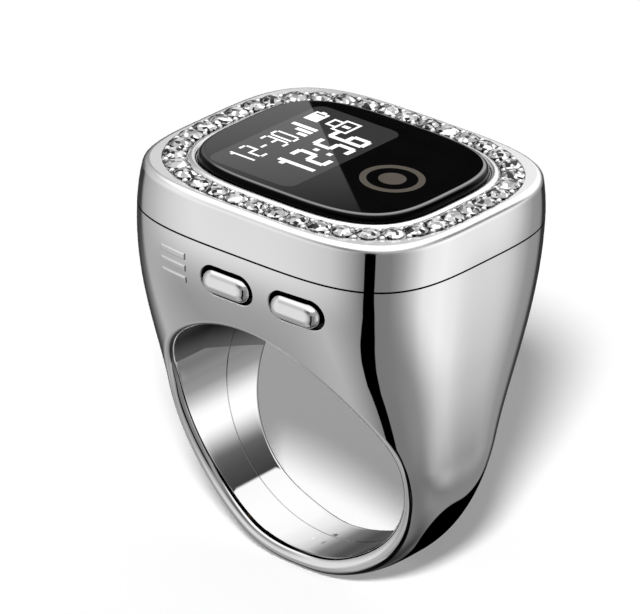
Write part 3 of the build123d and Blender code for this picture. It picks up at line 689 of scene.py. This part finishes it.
def face_outline(turn, shift=0.0):
    """Point of the glass outline at an angle, moved along its own normal by shift."""
    across, along = cos(turn) / GLASS_HALF_X, sin(turn) / GLASS_HALF_Y
    reach = (abs(across) ** FACE_POWER + abs(along) ** FACE_POWER) ** (-1 / FACE_POWER)
    slope_x = copysign(abs(across * reach) ** (FACE_POWER - 1) / GLASS_HALF_X, across)
    slope_y = copysign(abs(along * reach) ** (FACE_POWER - 1) / GLASS_HALF_Y, along)
    size = hypot(slope_x, slope_y)
    return Vector((reach * cos(turn) + shift * slope_x / size, reach * sin(turn) + shift * slope_y / size, 0))


def round_turn(co):
    """Angle of a circle's vertex round the circle's middle."""
    return Vector((co.x, co.y)).angle_signed(Vector((1, 0)))


def make_glass():
    """Window glass with a rounded upper edge."""
    piece = begin("window_glass_black", bpy.ops.mesh.primitive_circle_add,
                  vertices=GLASS_STEPS, radius=1.0, fill_type="NGON")
    reshape(piece, lambda co: face_outline(round_turn(co)) * MM)
    top = GLASS_TOP_Z - INLAY_DEPTH
    bpy.ops.transform.translate(value=(0, 0, top * MM))
    thicken((top - GLASS_Z) * MM)
    select(piece, lambda co: co.z > (top - HAIR) * MM)
    bpy.ops.mesh.bevel(offset=GLASS_ROUND * MM, segments=8, affect="EDGES")
    done(piece, FINISHES["dark_glass"], smooth=35)
    even_normals(piece)
    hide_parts("window_glass")


def make_bezel():
    """Half-round bead of the rim between the glass and the stones."""
    piece = begin("glass_bezel", bpy.ops.mesh.primitive_grid_add,
                  x_subdivisions=GLASS_STEPS, y_subdivisions=BEZEL_STEPS, size=1.0)
    middle, half = sum(BEZEL_SIDES) / 2, (BEZEL_SIDES[1] - BEZEL_SIDES[0]) / 2

    def wrap(co):
        turn, roll = 2 * pi * (co.x + 0.5), pi * (co.y + 0.5)
        point = face_outline(turn, middle - half * cos(roll))
        point.z = BEZEL_Z + BEZEL_HEIGHT * sin(roll)
        return point * MM

    reshape(piece, wrap)
    bpy.ops.mesh.remove_doubles(threshold=MERGE * MM)
    bpy.ops.mesh.region_to_loop()
    bpy.ops.mesh.bridge_edge_loops()
    turn_out()
    done(piece, FINISHES["polished_metal"], smooth=60)


def bar(columns, rows):
    return {(column, row) for column in columns for row in rows}


def digit(symbol, column, row, width, height, stroke):
    """Lit dots of a digit made of seven strokes, with its upper left dot at column and row."""
    middle = row + (height - stroke) // 2
    end = row + height
    inner = range(column + 1, column + width - 1)
    left = range(column, column + stroke)
    right = range(column + width - stroke, column + width)
    upper = range(row + 1, middle + 1)
    lower = range(middle + stroke - 1, end - 1)
    strokes = {
        "a": (inner, range(row, row + stroke)),
        "b": (right, upper),
        "c": (right, lower),
        "d": (inner, range(end - stroke, end)),
        "e": (left, lower),
        "f": (left, upper),
        "g": (inner, range(middle, middle + stroke)),
    }
    table = {"0": "abcdef", "2": "abged", "3": "abgcd", "5": "afgcd", "6": "afgcde", "-": "g"}
    if symbol == "1":
        stem = column + width // 2
        lit = bar(range(stem, stem + stroke), range(row, end))
        return lit | bar(range(stem - stroke, stem), range(row + stroke, row + 2 * stroke))
    return set().union(*(bar(*strokes[name]) for name in table[symbol]))


def symbol_dots():
    """Lit dots of the signal bars, the battery and the lock."""
    lit = set()
    for step, height in enumerate(SIGNAL_HEIGHTS):
        column = SIGNAL_COLUMN + SIGNAL_PITCH * step
        lit |= bar(range(column, column + 2), range(SIGNAL_FOOT - height, SIGNAL_FOOT))
    battery = bar(range(44, 52), range(0, 6)) | bar((52,), range(2, 4))
    battery -= bar((50,), range(1, 5))
    lock = bar(range(43, 53), range(13, 20)) - bar(range(44, 52), range(14, 19))
    lock |= bar(range(45, 51), (9,)) | bar((45, 50), range(10, 13))
    lock |= bar(range(47, 49), range(15, 18))
    return lit | battery | lock


def lit_dots():
    """Every lit dot of the display: date, symbols and time."""
    lit = symbol_dots()
    for step, symbol in enumerate(DATE_SHOWN):
        lit |= digit(symbol, DATE_PITCH * step, 0, *DATE_DIGIT)
    column = TIME_COLUMN
    for symbol in TIME_SHOWN:
        if symbol == ":":
            for row in COLON_ROWS:
                lit |= bar(range(column, column + 2), range(row, row + 2))
            column += COLON_PITCH
        else:
            lit |= digit(symbol, column, TIME_ROW, *TIME_DIGIT)
            column += TIME_PITCH
    return lit


def make_lit_dots():
    """The lit dots, as one sheet of dots flush with the glass."""
    lit = lit_dots()
    piece = begin("display_lit_dots", bpy.ops.mesh.primitive_grid_add,
                  x_subdivisions=DOT_ROWS, y_subdivisions=DOT_COLUMNS, size=1.0)
    bpy.ops.transform.resize(value=(DOT_ROWS * DOT * MM, DOT_COLUMNS * DOT * MM, 1))
    middle_x = DOT_START_X + DOT_ROWS * DOT / 2
    middle_y = DOT_START_Y + DOT_COLUMNS * DOT / 2
    bpy.ops.transform.translate(value=(middle_x * MM, middle_y * MM, GLASS_TOP_Z * MM))

    def is_dark(co):
        column = int((co.y / MM - DOT_START_Y) / DOT)
        row = int((co.x / MM - DOT_START_X) / DOT)
        return (column, row) not in lit

    select(piece, is_dark)
    bpy.ops.mesh.delete(type="FACE")
    thicken(INLAY_DEPTH * MM)
    done(piece, LIT_FINISH)


def make_field():
    """Paler field of the display, flush under its dots."""
    piece = begin("display_field", bpy.ops.mesh.primitive_plane_add, size=1.0)
    bpy.ops.transform.resize(value=((FIELD_X[1] - FIELD_X[0]) * MM, (FIELD_Y[1] - FIELD_Y[0]) * MM, 1))
    top = GLASS_TOP_Z - INLAY_DEPTH / 2
    bpy.ops.transform.translate(value=(sum(FIELD_X) / 2 * MM, sum(FIELD_Y) / 2 * MM, top * MM))
    bpy.ops.mesh.bevel(offset=FIELD_CORNER * MM, segments=10, affect="VERTICES")
    thicken(INLAY_DEPTH / 2 * MM)
    done(piece, FIELD_FINISH)


def make_touch_mark():
    """Printed ring and dot over the touch field."""
    for name, (outside, inside) in (("touch_ring", TOUCH_RING), ("touch_dot", TOUCH_DOT)):
        piece = begin(name, bpy.ops.mesh.primitive_circle_add, vertices=ROUND_STEPS, radius=outside * MM,
                      fill_type="NGON", location=(TOUCH_X * MM, TOUCH_Y * MM, GLASS_TOP_Z * MM))
        if inside:
            bpy.ops.mesh.inset(thickness=(outside - inside) * MM)
            bpy.ops.mesh.delete(type="FACE")
        thicken(INLAY_DEPTH * MM)
        done(piece, TOUCH_FINISH)


def stone_places():
    """Evenly spaced places along the middle of the stone channel."""
    fine = [face_outline(2 * pi * step / HALO_STEPS, HALO_SHIFT) for step in range(HALO_STEPS + 1)]
    lengths = [0.0]
    for before, after in zip(fine, fine[1:]):
        lengths.append(lengths[-1] + (after - before).length)
    places = []
    index = 0
    for step in range(STONE_COUNT):
        goal = lengths[-1] * step / STONE_COUNT
        while lengths[index + 1] < goal:
            index += 1
        share = (goal - lengths[index]) / (lengths[index + 1] - lengths[index])
        places.append(fine[index].lerp(fine[index + 1], share))
    return places


def make_stones():
    """Brilliant-cut stones: table, stars, kites and girdle above, mains and point below."""
    stone = begin("halo_stones_cut", bpy.ops.mesh.primitive_circle_add, vertices=3, radius=STONE_R * MM)
    bpy.ops.mesh.delete(type="VERT")
    for count, turn, share, height in STONE_CUT:
        bpy.ops.mesh.primitive_circle_add(
            vertices=count, radius=STONE_R * share * MM, rotation=(0, 0, turn * 2 * pi / 8),
            location=(0, 0, height * MM))
    bpy.ops.mesh.select_all(action="SELECT")
    bpy.ops.mesh.convex_hull(join_triangles=True, face_threshold=radians(4), shape_threshold=radians(180))
    turn_out()
    bpy.ops.object.mode_set(mode="OBJECT")
    copies = []
    for place in stone_places():
        copy = stone.copy()
        copy.data = stone.data.copy()
        copy.data.transform(Matrix.Translation((place.x * MM, place.y * MM, STONE_Z * MM)))
        bpy.context.collection.objects.link(copy)
        copies.append(copy)
    bpy.data.objects.remove(stone)
    bpy.ops.object.select_all(action="DESELECT")
    for copy in copies:
        copy.select_set(True)
    halo = copies[0]
    bpy.context.view_layer.objects.active = halo
    bpy.ops.object.join()
    halo.name = "halo_stones_cut"
    bpy.ops.object.mode_set(mode="EDIT")
    done(halo, FINISHES["clear_stone"])
    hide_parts("halo_stones")


def ease(share):
    return share * share * (3 - 2 * share)


def half_sizes(z):
    """Half length and half width of the ring's outline at each height."""
    lean = HEAD_LEAN * (np.maximum(z - PARTING_Z, 0.0) / (RIM_Z - PARTING_Z)) ** 2
    share = np.clip((z - BAND_Z) / (PARTING_Z - BAND_Z), 0.0, 1.0)
    half_x = BAND_R + (HEAD_HALF_X - BAND_R) * ease(share) + SIDE_SWELL * (4 * share * (1 - share)) ** 2
    half_x = np.sqrt(np.maximum(half_x ** 2 - np.minimum(z - BAND_Z, 0.0) ** 2, TINY))
    rise = np.clip(z - BOTTOM_Z, TINY, PARTING_Z - BOTTOM_Z)
    half_y = BAND_WIDTH / 2 + (HEAD_HALF_Y - BAND_WIDTH / 2) * ease(rise / (PARTING_Z - BOTTOM_Z))
    half_y -= BAND_ROUND - np.sqrt(BAND_ROUND ** 2 - (BAND_ROUND - np.minimum(rise, BAND_ROUND)) ** 2)
    return half_x - lean, half_y - lean


def outness(points):
    """How far out each point lies: 1 on the ring's outer face."""
    half_x, half_y = half_sizes(points[:, 2])
    across = np.abs(points[:, 0] / half_x) ** HEAD_POWER
    return (across + np.abs(points[:, 1] / half_y) ** HEAD_POWER) ** (1 / HEAD_POWER)


def outward(points):
    """Slope of outness at each point: it points straight out of the outer face."""
    steps = np.eye(3) * SLOPE_STEP
    slopes = [(outness(points + step) - outness(points - step)) / (2 * SLOPE_STEP) for step in steps]
    return np.stack(slopes, axis=1)


def front_y(x, z):
    """The ring's front face at x and z."""
    half_x, half_y = half_sizes(z)
    return -half_y * (1 - abs(x / half_x) ** HEAD_POWER) ** (1 / HEAD_POWER)


def unit(vectors):
    return vectors / np.maximum(np.linalg.norm(vectors, axis=1), TINY)[:, None]


def dot(first, second):
    return (first * second).sum(axis=1)[:, None]


def outer_face(points):
    """Each point's distance from the ring's outer face, and the face's normal there."""
    foot = points
    for _ in range(FACE_ROUNDS):
        slope = outward(foot)
        foot = foot - slope * ((outness(foot) - 1) / (slope * slope).sum(axis=1))[:, None]
        normal = unit(outward(foot))
        foot = points - normal * dot(points - foot, normal)
    return dot(points - foot, normal)[:, 0], normal


def bore_face(points):
    """Each point's distance from the bore's wall, and the wall's normal there."""
    across = points * (1, 0, 1)
    return BORE_R - np.linalg.norm(across, axis=1), -unit(across)


def rim_face(points):
    """Each point's distance from the flat rim, and the rim's normal."""
    return points[:, 2] - RIM_Z, np.zeros_like(points) + (0, 0, 1)


def rounded_edge(points, face, radius):
    """Distance and normal for the rounded edge between the outer face and another, running on into both."""
    off_outer, out = outer_face(points)
    off_face, way = face(points)
    near = (np.abs(off_outer) < 2 * radius) & (np.abs(off_face) < 2 * radius)
    distance, normal = np.full(len(points), FAR_OFF), np.zeros_like(points)
    ends, sides = points[near], (out[near], way[near])
    middle = ends - radius * unit(sides[0] + sides[1])
    for _ in range(EDGE_ROUNDS):
        limits = []
        for sense in (outer_face, face):
            off, facing = sense(middle)
            middle = middle - facing * (off + radius)[:, None]
            limits.append(facing)
    away = unit(ends - middle)
    axis = np.cross(*limits)
    past_outer = dot(np.cross(limits[0], away), axis) < 0
    past_face = dot(np.cross(away, limits[1]), axis) < 0
    off_round = np.linalg.norm(ends - middle, axis=1) - radius
    off_round = np.where(past_face[:, 0], off_face[near], off_round)
    distance[near] = np.where(past_outer[:, 0], off_outer[near], off_round)
    normal[near] = np.where(past_outer, sides[0], np.where(past_face, sides[1], away))
    return distance, normal


def bore_edge(points):
    return rounded_edge(points, bore_face, BORE_EDGE_ROUND)


def rim_edge(points):
    return rounded_edge(points, rim_face, COVER_ROUND)


def read(group, name, width):
    """One value per element of a mesh, as an array."""
    kind = np.int32 if name.endswith(("index", "vertices")) else np.float32
    values = np.zeros(len(group) * width, dtype=kind)
    group.foreach_get(name, values)
    return values.reshape(-1, width) if width > 1 else values


def true_shape(points, faces):
    """Distance and normal for a casting's mirror faces: its rounded edge goes first, then the nearer face."""
    (edge, edge_way), (distance, normal), (other, other_way) = [face(points) for face in faces]
    closer = np.abs(other) < np.abs(distance)
    distance = np.where(closer, other, distance)
    normal = np.where(closer[:, None], other_way, normal)
    rounded = np.abs(edge) < EDGE_REACH
    return np.where(rounded, edge, distance), np.where(rounded[:, None], edge_way, normal)


def faces_on(mesh, faces):
    """A mesh's vertices and triangles, each vertex's true distance and normal, and the mirror triangles."""
    points = read(mesh.vertices, "co", 3) / MM
    corners = read(mesh.loops, "vertex_index", 1).reshape(-1, 3)
    distance, normal = true_shape(points, faces)
    agree = dot(normal[corners].mean(axis=1), read(mesh.polygons, "normal", 3))[:, 0]
    on = (np.abs(distance)[corners].max(axis=1) < ON_FACE) & (agree > SAME_WAY)
    return points, corners, distance, normal, on


def divide(piece, faces):
    """Halves the long or bent edges inside the mirror faces, and lays the vertices on the true faces."""
    mesh = piece.data
    points, _, _, normal, on = faces_on(mesh, faces)
    first, second = read(mesh.edges, "vertices", 2).T
    length = np.linalg.norm(points[first] - points[second], axis=1)
    bent = dot(normal[first], normal[second])[:, 0] < cos(MOST_BEND)
    inside = np.ones(len(first), dtype=bool)
    inside[read(mesh.loops, "edge_index", 1).reshape(-1, 3)[~on]] = False
    bpy.ops.object.mode_set(mode="EDIT")
    bpy.ops.mesh.select_all(action="DESELECT")
    bpy.ops.object.mode_set(mode="OBJECT")
    mesh.edges.foreach_set("select", inside & ((length > LONGEST_EDGE) | bent & (length > SHORTEST_EDGE)))
    bpy.ops.object.mode_set(mode="EDIT")
    bpy.ops.mesh.subdivide(number_cuts=1)
    bpy.ops.mesh.select_all(action="SELECT")
    bpy.ops.mesh.quads_convert_to_tris()
    bpy.ops.object.mode_set(mode="OBJECT")
    before = len(points)
    points, corners, distance, normal, on = faces_on(mesh, faces)
    loose = np.ones(len(points), dtype=bool)
    loose[corners[~on]] = False
    loose[before:] = True
    points[loose] -= normal[loose] * distance[loose][:, None]
    points = np.clip(points, *np.array(cad_box, dtype=np.float32) / MM)
    mesh.vertices.foreach_set("co", (points * MM).ravel())
    mesh.update()


def make_casting(name, faces):
    """A casting with its mirror faces divided finely and laid on their true curves."""
    bpy.ops.object.select_all(action="DESELECT")
    piece = bpy.data.objects.new(name + "_polished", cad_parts[name].data.copy())
    bpy.context.collection.objects.link(piece)
    bpy.context.view_layer.objects.active = piece
    piece.select_set(True)
    bpy.ops.mesh.customdata_custom_splitnormals_clear()
    bpy.ops.object.mode_set(mode="EDIT")
    bpy.ops.mesh.select_all(action="SELECT")
    bpy.ops.mesh.remove_doubles(threshold=MERGE * MM)
    bpy.ops.mesh.select_mode(type="EDGE")
    bpy.ops.object.mode_set(mode="OBJECT")
    for _ in range(DIVIDE_ROUNDS):
        divide(piece, faces)
    bpy.ops.object.shade_smooth_by_angle(angle=radians(30))
    _, corners, _, normal, on = faces_on(piece.data, faces)
    normals = np.zeros((len(corners), 3, 3))
    normals[on] = normal[corners[on]]
    piece.data.normals_split_custom_set(normals.reshape(-1, 3).tolist())
    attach(piece, "ring")
    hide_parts(name)


def make_menu_mark():
    """Three raised bars on the front face, beside the buttons."""
    for number, step in enumerate((-1, 0, 1), 1):
        piece = begin(f"menu_bar_{number}", bpy.ops.mesh.primitive_grid_add,
                      x_subdivisions=16, y_subdivisions=4, size=1.0)
        bpy.ops.transform.resize(value=(MARK_LENGTH * MM, MARK_BAR * MM, 1))
        thicken((MARK_PROUD + MARK_SUNK) * MM)
        select(piece, lambda co: co.z > -MARK_PROUD / 2 * MM)
        bpy.ops.mesh.region_to_loop()
        bpy.ops.mesh.bevel(offset=MARK_ROUND * MM, segments=3, affect="EDGES")

        def wrap(co, lift=step * MARK_PITCH):
            x, z = MARK_X + co.x / MM, MARK_Z + lift + co.y / MM
            return Vector((x, front_y(x, z) - MARK_PROUD - co.z / MM, z)) * MM

        reshape(piece, wrap)
        turn_out()
        done(piece, FINISHES["polished_metal"], smooth=40)


make_casting("ring_body", (bore_edge, outer_face, bore_face))
make_casting("top_cover", (rim_edge, outer_face, rim_face))
make_bezel()
make_glass()
make_field()
make_lit_dots()
make_touch_mark()
make_stones()
make_menu_mark()


def make_floor():
    """White table top under the ring; the metal shows the studio walls in its place."""
    bpy.ops.object.select_all(action="DESELECT")
    bpy.ops.mesh.primitive_plane_add(size=FLOOR_SIZE, location=(0, 0, cad_box[0].z))
    floor = bpy.context.object
    floor.name = "table_top"
    finish = Finish("table_white")
    seen = finish.add("LightPath", out="Is Camera Ray") + finish.add("LightPath", out="Is Transmission Ray")
    cloud = finish.noise(FLOOR_CLOUD, 2.0)
    matt = finish.add("BsdfDiffuse", None, {"Color": finish.between(cloud, *FLOOR_TONES)})
    glow = finish.add("Emission", None, {"Color": shade(1.0), "Strength": 1.0})
    mixed = finish.add("MixShader", None, {0: FLOOR_GLOW * seen, 1: matt, 2: glow})
    finish.add("OutputMaterial", None, {"Surface": mixed})
    floor.data.materials.append(finish.material)
    floor.visible_glossy = False


def black_curtain(bearing, height):
    """1 on the black curtain beside the front."""
    left = curve(height, BELOW_HORIZON, CURTAIN_LEFT, CURTAIN_MOST)
    right = curve(height, BELOW_HORIZON, CURTAIN_RIGHT, CURTAIN_MOST)
    curtain = ramp(bearing - left, *CURTAIN_SOFT) * ramp(right - bearing, *CURTAIN_SOFT)
    return curtain * (1 - ramp(height, *CURTAIN_TOP))


def black_sheet(from_back, height):
    """1 on the black sheet low at the back."""
    aside = from_back - (SHEET_BEARING - 180)
    above = height - SHEET_HEIGHT
    along = (cos(SHEET_TILT) * aside + sin(SHEET_TILT) * above) / SHEET_HALF_LENGTH
    across = (cos(SHEET_TILT) * above - sin(SHEET_TILT) * aside) / SHEET_HALF_WIDTH
    return 1 - ramp(along * along + across * across, *SHEET_SOFT)


def mirrored_studio(room):
    """Brightness of the studio by direction: grey walls, pale panels, a black curtain and a black sheet."""
    x, y, z = room.parts(room.add("TexCoord", out="Generated"))
    bearing = x.turn_from(0 - y)
    from_back = (0 - x).turn_from(y)
    height = z.math("ARCSINE", z) * DEGREES
    level = curve(bearing, ALL_ROUND, WALL_LEVELS)
    table_heights = [
        first + change * ramp(bearing, *turns)
        for first, (turns, change) in zip(TABLE_HEIGHTS, (TABLE_DROP, TABLE_LIFT))
    ]
    for heights, stops in (
        (table_heights, TABLE_LEVELS), (UNDER_HEIGHTS, UNDER_LEVELS), (CEILING_HEIGHTS, CEILING_LEVELS),
    ):
        level = level + ramp(height, *heights) * (curve(bearing, ALL_ROUND, stops) - level)
    level = level + ramp(height, *SKYLIGHT_HEIGHTS) * (SKYLIGHT - level)
    return level * (1 - black_curtain(bearing, height)) * (1 - black_sheet(from_back, height))


def make_room():
    """Studio round the ring: plain white to the eye, its own walls in the metal and the stones."""
    world = bpy.data.worlds.new("studio")
    bpy.context.scene.world = world
    world.use_nodes = True
    room = Finish("studio", world.node_tree)
    light = room.add("Background", None, {"Color": shade(1.0), "Strength": FILL_LIGHT})
    mirrored = room.add("Background", None, {"Color": mirrored_studio(room), "Strength": 1.0})
    plain = room.add("Background", None, {"Color": shade(1.0), "Strength": 1.0})
    glossy = room.add("LightPath", out="Is Glossy Ray")
    seen = room.add("LightPath", out="Is Camera Ray")
    mixed = room.add("MixShader", None, {0: glossy, 1: light, 2: mirrored})
    mixed = room.add("MixShader", None, {0: seen, 1: mixed, 2: plain})
    room.add("OutputWorld", None, {"Surface": mixed})


def make_glare_card():
    """Card over the glass: its reflection is pale on one side of a slanting line and black on the other."""
    eye = bpy.context.scene.camera.matrix_world.translation / MM

    def mirrored(x, y):
        point = Vector((x, y, GLASS_TOP_Z))
        way = (point - eye).normalized()
        way.z = -way.z
        return point + way * (CARD_RISE / way.z)

    piece = begin("glare_card", bpy.ops.mesh.primitive_circle_add,
                  vertices=ROUND_STEPS, radius=1.0, fill_type="NGON")

    def over_glass(co):
        point = face_outline(round_turn(co), CARD_MARGIN)
        return mirrored(point.x, point.y) * MM

    reshape(piece, over_glass)
    bpy.ops.object.mode_set(mode="OBJECT")
    first, second = mirrored(*GLARE_START), mirrored(*GLARE_END)
    along = (second - first).normalized()
    across = Vector((-along.y, along.x, 0))
    finish = Finish("glare_card")
    place = finish.place()
    side = finish.add("VectorMath", {"operation": "DOT_PRODUCT"}, {0: place, 1: across / MM}, out="Value")
    side = side - across.dot(first)
    run = finish.add("VectorMath", {"operation": "DOT_PRODUCT"}, {0: place, 1: along / MM}, out="Value")
    run = (run - along.dot(first)) / (second - first).length
    fade = finish.add("MapRange", None, {"Value": run, "To Min": 1.0, "To Max": GLARE_LOWEST})
    pale = (0.0 - side).over(0.0) * fade
    glow = finish.add("Emission", None, {"Color": pale, "Strength": 1.0})
    finish.add("OutputMaterial", None, {"Surface": glow})
    piece.data.materials.append(finish.material)
    piece.visible_camera = False
    piece.visible_diffuse = False
    piece.visible_shadow = False
    piece.visible_transmission = False


def make_camera():
    """Camera at the photograph's angle."""
    back = Vector((
        sin(CAMERA_TURN) * cos(CAMERA_RISE), -cos(CAMERA_TURN) * cos(CAMERA_RISE), sin(CAMERA_RISE),
    ))
    right = Vector((cos(CAMERA_TURN), sin(CAMERA_TURN), 0))
    up = back.cross(right)
    aside = right * cos(CAMERA_ROLL) - up * sin(CAMERA_ROLL)
    above = right * sin(CAMERA_ROLL) + up * cos(CAMERA_ROLL)
    place = CAMERA_TARGET + back * CAMERA_DISTANCE + aside * CAMERA_ASIDE + above * CAMERA_ABOVE
    data = bpy.data.cameras.new("camera")
    data.lens = LENS
    data.sensor_width = SENSOR
    camera = bpy.data.objects.new("camera", data)
    bpy.context.collection.objects.link(camera)
    turn = Matrix((aside, above, back)).transposed().to_4x4()
    camera.matrix_world = Matrix.Translation(place * MM) @ turn
    bpy.context.scene.camera = camera


def make_lamp():
    """Even light from one side; the metal mirrors the studio in its stead."""
    data = bpy.data.lights.new("key_lamp", "SUN")
    data.angle = LAMP_SPREAD
    data.energy = LAMP_POWER
    lamp = bpy.data.objects.new("key_lamp", data)
    bpy.context.collection.objects.link(lamp)
    lamp.location = LAMP_PLACE * MM
    lamp.rotation_euler = (-LAMP_PLACE).to_track_quat("-Z", "Y").to_euler()
    lamp.visible_glossy = False


make_floor()
make_room()
make_camera()
make_glare_card()
make_lamp()
bpy.context.scene.view_settings.view_transform = "Standard"
